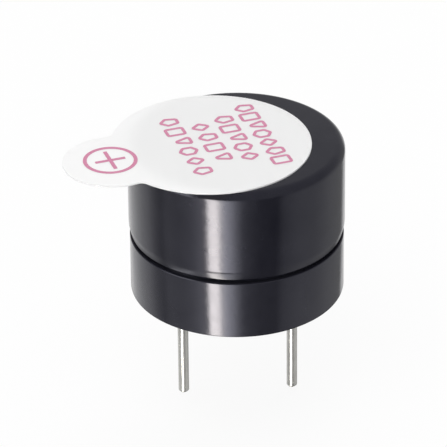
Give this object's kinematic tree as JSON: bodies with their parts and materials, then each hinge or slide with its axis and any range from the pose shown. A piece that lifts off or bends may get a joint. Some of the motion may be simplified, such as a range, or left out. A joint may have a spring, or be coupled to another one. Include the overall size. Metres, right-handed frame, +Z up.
{
  "type": "round buzzer",
  "caption": "Sealed round sounder for a circuit board, with a peel-off seal on top and straight pins below.",
  "frame": {"origin": "centre of the underside rim, the plane that rests on a circuit board", "axes": "+Z up through the sound hole; the pins stand on X, the positive one on -X under the seal's tab"},
  "size_m": [0.0158, 0.012, 0.0167],
  "materials": {
    "case_plastic": "moulded black, glossy",
    "seal_film": "white film label, satin, with pink marks",
    "spring_steel": "rolled bright",
    "plated_steel": "plated, satin",
    "ferrite": "sintered, matt dark grey",
    "enamelled_wire": "copper under clear enamel",
    "board_laminate": "glass-epoxy laminate, satin",
    "solder": "solder, bright",
    "tinned_wire": "tinned, bright",
    "package_resin": "moulded epoxy, matt",
    "resistor_ceramic": "glazed thick film on alumina",
    "potting_resin": "cast epoxy, glossy"
  },
  "bodies": {
    "root": {"upper_case": "case_plastic", "lower_case": "case_plastic", "seal": "seal_film", "diaphragm": "spring_steel", "armature_disc": "plated_steel", "yoke_plate": "plated_steel", "pole_core": "plated_steel", "ring_magnet": "ferrite", "coil": "enamelled_wire", "coil_leads": "enamelled_wire", "circuit_board": "board_laminate", "lead_joints": "solder", "pin_joints": "solder", "positive_pin": "tinned_wire", "negative_pin": "tinned_wire", "transistor": "package_resin", "transistor_legs": "tinned_wire", "resistor": "resistor_ceramic", "resistor_caps": "solder", "diode": "package_resin", "diode_legs": "tinned_wire", "potting": "potting_resin"}
  },
  "joints": []
}
